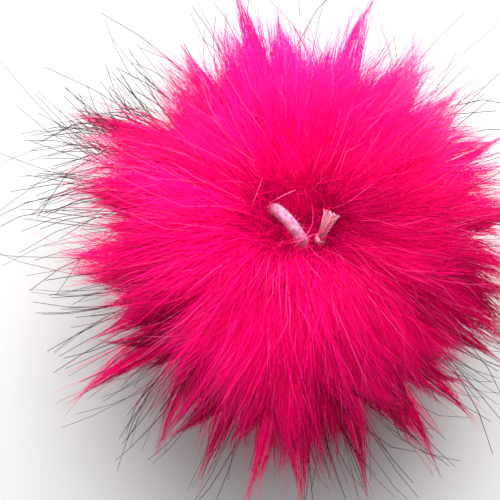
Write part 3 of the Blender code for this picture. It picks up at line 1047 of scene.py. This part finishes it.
# Three sides, finer towards the tip, with the tone across the map and the length along it.
width = mix(power(along, TAPER), given["Strand Width"], given["Tip Width"])
ring = node("GeometryNodeCurvePrimitiveCircle", {"Resolution": STRAND_SIDES, "Radius": 1.0})
ring = keep(ring, "around", outputs_of("GeometryNodeSplineParameter")["Factor"])
inputs = {"Curve": fur, "Profile Curve": ring, "Fill Caps": True}
inputs["Scale"] = times(width, read("own_width"), 0.5)
fur = node("GeometryNodeCurveToMesh", inputs)
column = reckon("FLOOR", times(read("tone"), float(TONES)))
column = plus(column, times_plus(read("around"), *COLUMN_SPAN))
across = over(column, float(TONES))
chart = node("ShaderNodeCombineXYZ", {0: across, 1: read("along"), 2: 0.0})
fur = keep(fur, "OFBake", chart, "FLOAT2", "CORNER")
fur = node("GeometryNodeSetShadeSmooth", {"Geometry": fur, "Shade Smooth": True})
fur = node("GeometryNodeRealizeInstances", {"Geometry": fur})
fur = node("GeometryNodeSetMaterial", {"Geometry": fur, "Material": given["Finish"]})
put(groom, "NodeGroupOutput", {"Fur": fur})

# The cord's route, so that the fur is held clear of the loop.
route_maker = bmesh.new()
route_verts = [route_maker.verts.new(point) for point in loop_line]
for first, second in zip(route_verts, route_verts[1:]):
    route_maker.edges.new((first, second))
cord_line = set_out("cord_line", mesh_of("cord_line", route_maker))
tufts = tuft_roots()
USUAL_SIZES = {
    "Lock Spacing": 7.2 * MM,
    "Lock Stray": 0.42,
    "Length Varies": 0.38,
    "Wisp Spacing": 2.0 * MM,
    "Drift": 1.1,
    "Lock Seed": 11,
    "Clear of Cord": CORD_DIAMETER / 2.0 + CORD_CLEARANCE,
    "Cord Line": cord_line,
    "Tufts": tufts,
}
KEPT_BY_MESH = ("position", "OFBake", "sharp_face", "material_index")
FIBRE_SHINE_TINT = (1.0, 0.35, 0.7, 1.0)


def grow(name, ground, own_sizes):
    """The fur that the groom grows on this pelt, as a plain mesh."""
    sizes = {**USUAL_SIZES, **own_sizes}
    made = ground.modifiers.new("groom", "NODES")
    made.node_group = groom
    for item in groom.interface.items_tree:
        if item.in_out == "INPUT" and item.name in sizes:
            made[item.identifier] = sizes[item.name]
    graph = bpy.context.evaluated_depsgraph_get()
    mesh = bpy.data.meshes.new_from_object(ground.evaluated_get(graph), depsgraph=graph)
    mesh.name = name
    for label in [item.name for item in mesh.attributes]:
        if label not in KEPT_BY_MESH and not label.startswith("."):
            mesh.attributes.remove(mesh.attributes[label])
    bpy.data.objects.remove(ground)
    return set_out(name, mesh)


def fibre_finish(name, shades, lengthwise, roughness, gloss, glow):
    """Fibres dyed in these shades from the darkest tone to the brightest, times a ramp along their
    length: painted shade towards the roots, painted glints on the stray fibres and black dye on the
    guard hairs' tips. The glow stands for the light that scatters from fibre to fibre inside the pile."""
    made, tree, shader = finish(name, {
        "Roughness": roughness,
        "Specular IOR Level": gloss,
        "Specular Tint": FIBRE_SHINE_TINT,
        "Emission Strength": glow,
    })
    parts = chart_of(tree)
    column = reckon("FLOOR", times(parts[0], float(TONES)))
    tone = over(column, TONES - 1.0)
    inputs = {0: 1.0, 6: shade(tree, tone, shades), 7: shade(tree, parts[1], lengthwise)}
    mixed = put(tree, "ShaderNodeMix", inputs, data_type="RGBA", blend_type="MULTIPLY").outputs[2]
    tree.links.new(mixed, shader.inputs["Base Color"])
    tree.links.new(mixed, shader.inputs["Emission Color"])
    return made


PILE_SHADES = (
    (0.0, (0.28, 0.0, 0.034)),
    (0.3, (0.73, 0.0, 0.12)),
    (0.52, (0.97, 0.002, 0.205)),
    (0.75, (1.0, 0.013, 0.245)),
    (1.0, (1.0, 0.085, 0.29)),
)
# Painted shade: the fibres darker towards their roots, deep in the pile.
PILE_ROOT_SHADE = ((0.0, (0.86, 0.78, 0.78)), (0.3, (0.93, 0.91, 0.91)), (0.6, (1.0, 1.0, 1.0)))
pile_finish = fibre_finish(
    "pink_pile", PILE_SHADES, PILE_ROOT_SHADE, roughness=0.42, gloss=0.14, glow=0.21
)
under_finish = fibre_finish(
    "pink_underfur", PILE_SHADES, PILE_ROOT_SHADE, roughness=0.6, gloss=0.1, glow=0.62
)

THICKNESS_TABLE = ((0, 2.0), (15, 2.0), (30, 1.45), (60, 1.0), (115, 0.85), (145, 0.3), (180, 0.1))
FULL_THICKNESS = 1.6
UNDERFUR_SHARE = 0.75
LONGER_BELOW = 0.09
LONGER_OVER = 60.0
HOLLOW_HEADING = 228.0
HOLLOW_SPREAD = 20.0
HOLLOW_FROM_TOP = 62.0
HOLLOW_HEIGHT = 20.0
HOLLOW_SHARE = 0.32
PILE_LAYERS = 4


def ball_share(direction, degrees):
    return table_value(THICKNESS_TABLE, degrees) / FULL_THICKNESS


def pile_length(direction, degrees):
    """The pile is a little longer on the side that droops, and shorter where it has a hollow."""
    longer = -LONGER_BELOW * math.sin(heading_of(direction)) * min(2.0, degrees / LONGER_OVER)
    aside = (math.degrees(heading_of(direction)) % 360.0 - HOLLOW_HEADING) / HOLLOW_SPREAD
    above = (degrees - HOLLOW_FROM_TOP) / HOLLOW_HEIGHT
    shorter = HOLLOW_SHARE * math.exp(-(aside**2) - above**2)
    return pile_at(degrees, "lock") * (1.0 + longer - shorter)


def underfur_length(direction, degrees):
    return UNDERFUR_SHARE * pile_length(direction, degrees)


underfur = grow("underfur", pelt("underfur_pelt", underfur_length, ball_share), {
    "Strands per mm2": 0.95,
    "Points on a Strand": 3,
    "Strand Width": 0.24 * MM,
    "Tip Width": 0.06 * MM,
    "Shortest Strand": 0.4,
    "Lock Pull": 0.5,
    "Wisp Pull": 0.3,
    "Stray": 0.25,
    "Frizz": 1.0 * MM,
    "Tone Varies": 0.12,
    "Strand Seed": 500,
    "Finish": under_finish,
})
pile_pieces = [underfur]
for layer in range(PILE_LAYERS):
    pile_pieces.append(grow(f"pile_{layer + 1}", pelt("pile_pelt", pile_length, ball_share), {
        "Strands per mm2": 1.13,
        "Points on a Strand": 4,
        "Strand Width": 0.16 * MM,
        "Tip Width": 0.04 * MM,
        "Shortest Strand": 0.5,
        "Lock Pull": 1.0,
        "Wisp Pull": 0.65,
        "Stray": 0.10,
        "Frizz": 1.4 * MM,
        "Tone Varies": 0.13,
        "Strand Seed": 20 * layer,
        "Finish": pile_finish,
    }))

# ----------------------------------------------------------------------------
# The guard hairs: stiff fibres, longer and straighter than the pile, knitted into the same
# backing. They stand far out of the pile in bunches, pink below and dyed black at their tips.

# Painted shade: darker towards the root. The black of the tips is the hairs' own dye.
GUARD_ROOT_SHADE_AND_BLACK_TIPS = (
    (0.0, (0.8, 0.8, 0.8)),
    (0.36, (1.0, 1.0, 1.0)),
    (0.52, (0.30, 0.2, 0.28)),
    (0.64, (0.02, 0.02, 0.02)),
)
guard_finish = fibre_finish(
    "black_tipped_guard_hair", PILE_SHADES, GUARD_ROOT_SHADE_AND_BLACK_TIPS, roughness=0.4, gloss=0.2, glow=0.03
)
GUARD_THICKNESS = ((0, 0.05), (30, 0.15), (60, 0.8), (75, 1.0), (110, 1.0), (130, 0.4), (180, 0.1))
LEAST_GUARDS = 0.06
GUARD_HEADINGS = (  # heading, share, spread
    (150, 2.7, 13),
    (163, 1.0, 8),
    (176, 0.5, 10),
    (200, 0.5, 10),
    (222, 0.6, 12),
    (250, 0.4, 10),
    (285, 0.4, 14),
    (325, 0.4, 14),
    (10, 0.25, 16),
    (42, 0.7, 10),
    (78, 0.25, 12),
    (112, 0.35, 12),
)


def guard_length(direction, degrees):
    return pile_at(degrees, "guard")


def guard_share(direction, degrees):
    """Guard hairs stand in bunches round the ball, and are few on its top."""
    heading = math.degrees(heading_of(direction))
    most = LEAST_GUARDS
    for middle, share, spread in GUARD_HEADINGS:
        apart = (heading - middle + 180.0) % 360.0 - 180.0
        most = max(most, share * math.exp(-((apart / spread) ** 2)))
    return most * table_value(GUARD_THICKNESS, degrees)


guards = grow("guard_hairs", pelt("guard_pelt", guard_length, guard_share), {
    "Strands per mm2": 0.15,
    "Points on a Strand": 5,
    "Strand Width": 0.18 * MM,
    "Tip Width": 0.13 * MM,
    "Shortest Strand": 0.5,
    "Lock Pull": 0.75,
    "Lock Stray": 0.22,
    "Length Varies": 0.04,
    "Wisp Spacing": 2.2 * MM,
    "Wisp Pull": 0.3,
    "Stray": 0.18,
    "Drift": 0.45,
    "Frizz": 1.0 * MM,
    "Tone Varies": 0.15,
    "Strand Seed": 700,
    "Finish": guard_finish,
})

# ----------------------------------------------------------------------------
# The loose fibres: stray ends of the same acrylic, shed when the fur was cut. Their pale colour and
# the pale stretch along each are painted sheen and glints. They lie across the pile, held by nothing
# but the fibres under them.

# Painted sheen: a pale pink, with a paler stretch along each fibre as a painted glint.
STRAY_SHEEN_SHADES = ((0.0, (1.0, 0.06, 0.32)), (1.0, (1.0, 0.22, 0.55)))
STRAY_PAINTED_GLINTS = (
    (0.0, (0.9, 0.1, 0.3)),
    (0.45, (0.95, 0.15, 0.4)),
    (0.6, (1.0, 1.0, 1.0)),
    (0.85, (1.0, 1.0, 1.0)),
    (1.0, (1.0, 0.3, 0.6)),
)
stray_sheen_finish = fibre_finish(
    "stray_fibre_painted_sheen", STRAY_SHEEN_SHADES, STRAY_PAINTED_GLINTS, roughness=0.35, gloss=0.5, glow=0.05
)


def loose_length(direction, degrees):
    return pile_at(degrees, "lock")


loose_fibres = grow("loose_fibres", pelt("loose_pelt", loose_length, ball_share), {
    "Strands per mm2": 0.15,
    "Points on a Strand": 5,
    "Strand Width": 0.07 * MM,
    "Tip Width": 0.05 * MM,
    "Shortest Strand": 0.7,
    "Lock Spacing": 9 * MM,
    "Lock Pull": 0.0,
    "Length Varies": 0.2,
    "Wisp Spacing": 4.0 * MM,
    "Wisp Pull": 0.0,
    "Stray": 0.16,
    "Frizz": 3.0 * MM,
    "Tone Varies": 0.5,
    "Lock Seed": 61,
    "Strand Seed": 900,
    "Finish": stray_sheen_finish,
})

# ----------------------------------------------------------------------------
# The fluff on the loop: short ends of the cover's yarns that stand off it all round, and a
# few fibres of the pile that have caught on the loop and the knot.

FLUFF_LENGTH = 0.42 * MM
FLUFF_SHADES = ((0.0, (0.50, 0.04, 0.17)), (0.5, (0.62, 0.14, 0.30)), (1.0, (0.72, 0.34, 0.48)))
FLUFF_ROUND_LOOP = {
    "length": FLUFF_LENGTH,
    "thick": 1.0,
    "tone": 0.5,
    "loose": 1.0,
    "gathers": 0.0,
    "clumps": 0.0,
}
CAUGHT_WIDTH = 0.10 * MM
CAUGHT_SIDES = 5
CAUGHT_STEPS = 4
CAUGHT_FIBRES_MM = (
    ((-8.2, -4.6, 66.0), (-6.2, -5.2, 67.0), (-3.3, -5.2, 68.6), (-0.8, -4.6, 69.8), (0.8, -4.3, 70.2),
     (2.8, -3.8, 69.6), (5.3, -2.8, 68.4)),
    ((-7.4, -5.9, 66.2), (-4.6, -5.9, 67.8), (-1.6, -5.3, 69.3), (0.9, -4.9, 70.0), (3.4, -3.6, 69.2)),
    ((2.9, 3.2, 66.5), (3.1, 0.4, 68.0), (2.8, -1.8, 69.0), (1.8, -3.6, 70.0), (0.4, -5.1, 70.2),
     (-0.9, -6.3, 69.0)),
    ((-11.1, -2.8, 68.0), (-10.2, -0.2, 69.5), (-9.1, 2.7, 70.5), (-8.1, 5.3, 71.0), (-7.1, 8.0, 71.0)),
    ((-7.4, 1.3, 68.0), (-5.7, 2.8, 69.8), (-3.2, 4.1, 70.6), (-0.4, 5.4, 70.4)),
)


def loop_ground():
    """The loop's surface for fluff to grow on, standing straight off it."""
    mesh = loop.data.copy()
    normals = [part for vert in mesh.vertices for part in vert.normal]
    count = len(mesh.vertices)
    store(mesh, "leaves", normals)
    store(mesh, "lies", normals)
    for label, value in FLUFF_ROUND_LOOP.items():
        store(mesh, label, [value] * count)
    return set_out("loop_ground", mesh)


fluff_finish = fibre_finish(
    "elastic_fluff", FLUFF_SHADES, PILE_ROOT_SHADE, roughness=0.7, gloss=0.2, glow=0.04
)
fluff = grow("loop_fluff", loop_ground(), {
    "Strands per mm2": 2.6,
    "Points on a Strand": 3,
    "Strand Width": 0.05 * MM,
    "Tip Width": 0.03 * MM,
    "Shortest Strand": 0.35,
    "Lock Spacing": 2 * MM,
    "Lock Pull": 0.0,
    "Lock Stray": 0.4,
    "Length Varies": 0.3,
    "Wisp Spacing": 1.2 * MM,
    "Wisp Pull": 0.0,
    "Stray": 0.35,
    "Drift": 1.0,
    "Frizz": 0.5 * MM,
    "Tone Varies": 0.5,
    "Lock Seed": 71,
    "Strand Seed": 1100,
    "Clear of Cord": 0.0,
    "Finish": fluff_finish,
})
stand_for(fluff, "elastic_loop")

# The caught fibres take the stray fibres' finish, with its painted sheen and glints.
caught_maker = bmesh.new()
caught_chart = caught_maker.loops.layers.uv.new("OFBake")
for i, route in enumerate(CAUGHT_FIBRES_MM):
    line = smooth_route([Vector(stop) * MM for stop in route], CAUGHT_STEPS)
    tube(caught_maker, line, CAUGHT_WIDTH / 2.0, CAUGHT_SIDES, caught_chart, i, len(CAUGHT_FIBRES_MM))
caught = add_piece("caught_fibres", caught_maker, stray_sheen_finish)

for piece in pile_pieces + [guards, loose_fibres, caught]:
    stand_for(piece, "fur_ball")
bpy.data.objects.remove(cord_line)
bpy.data.objects.remove(tufts)
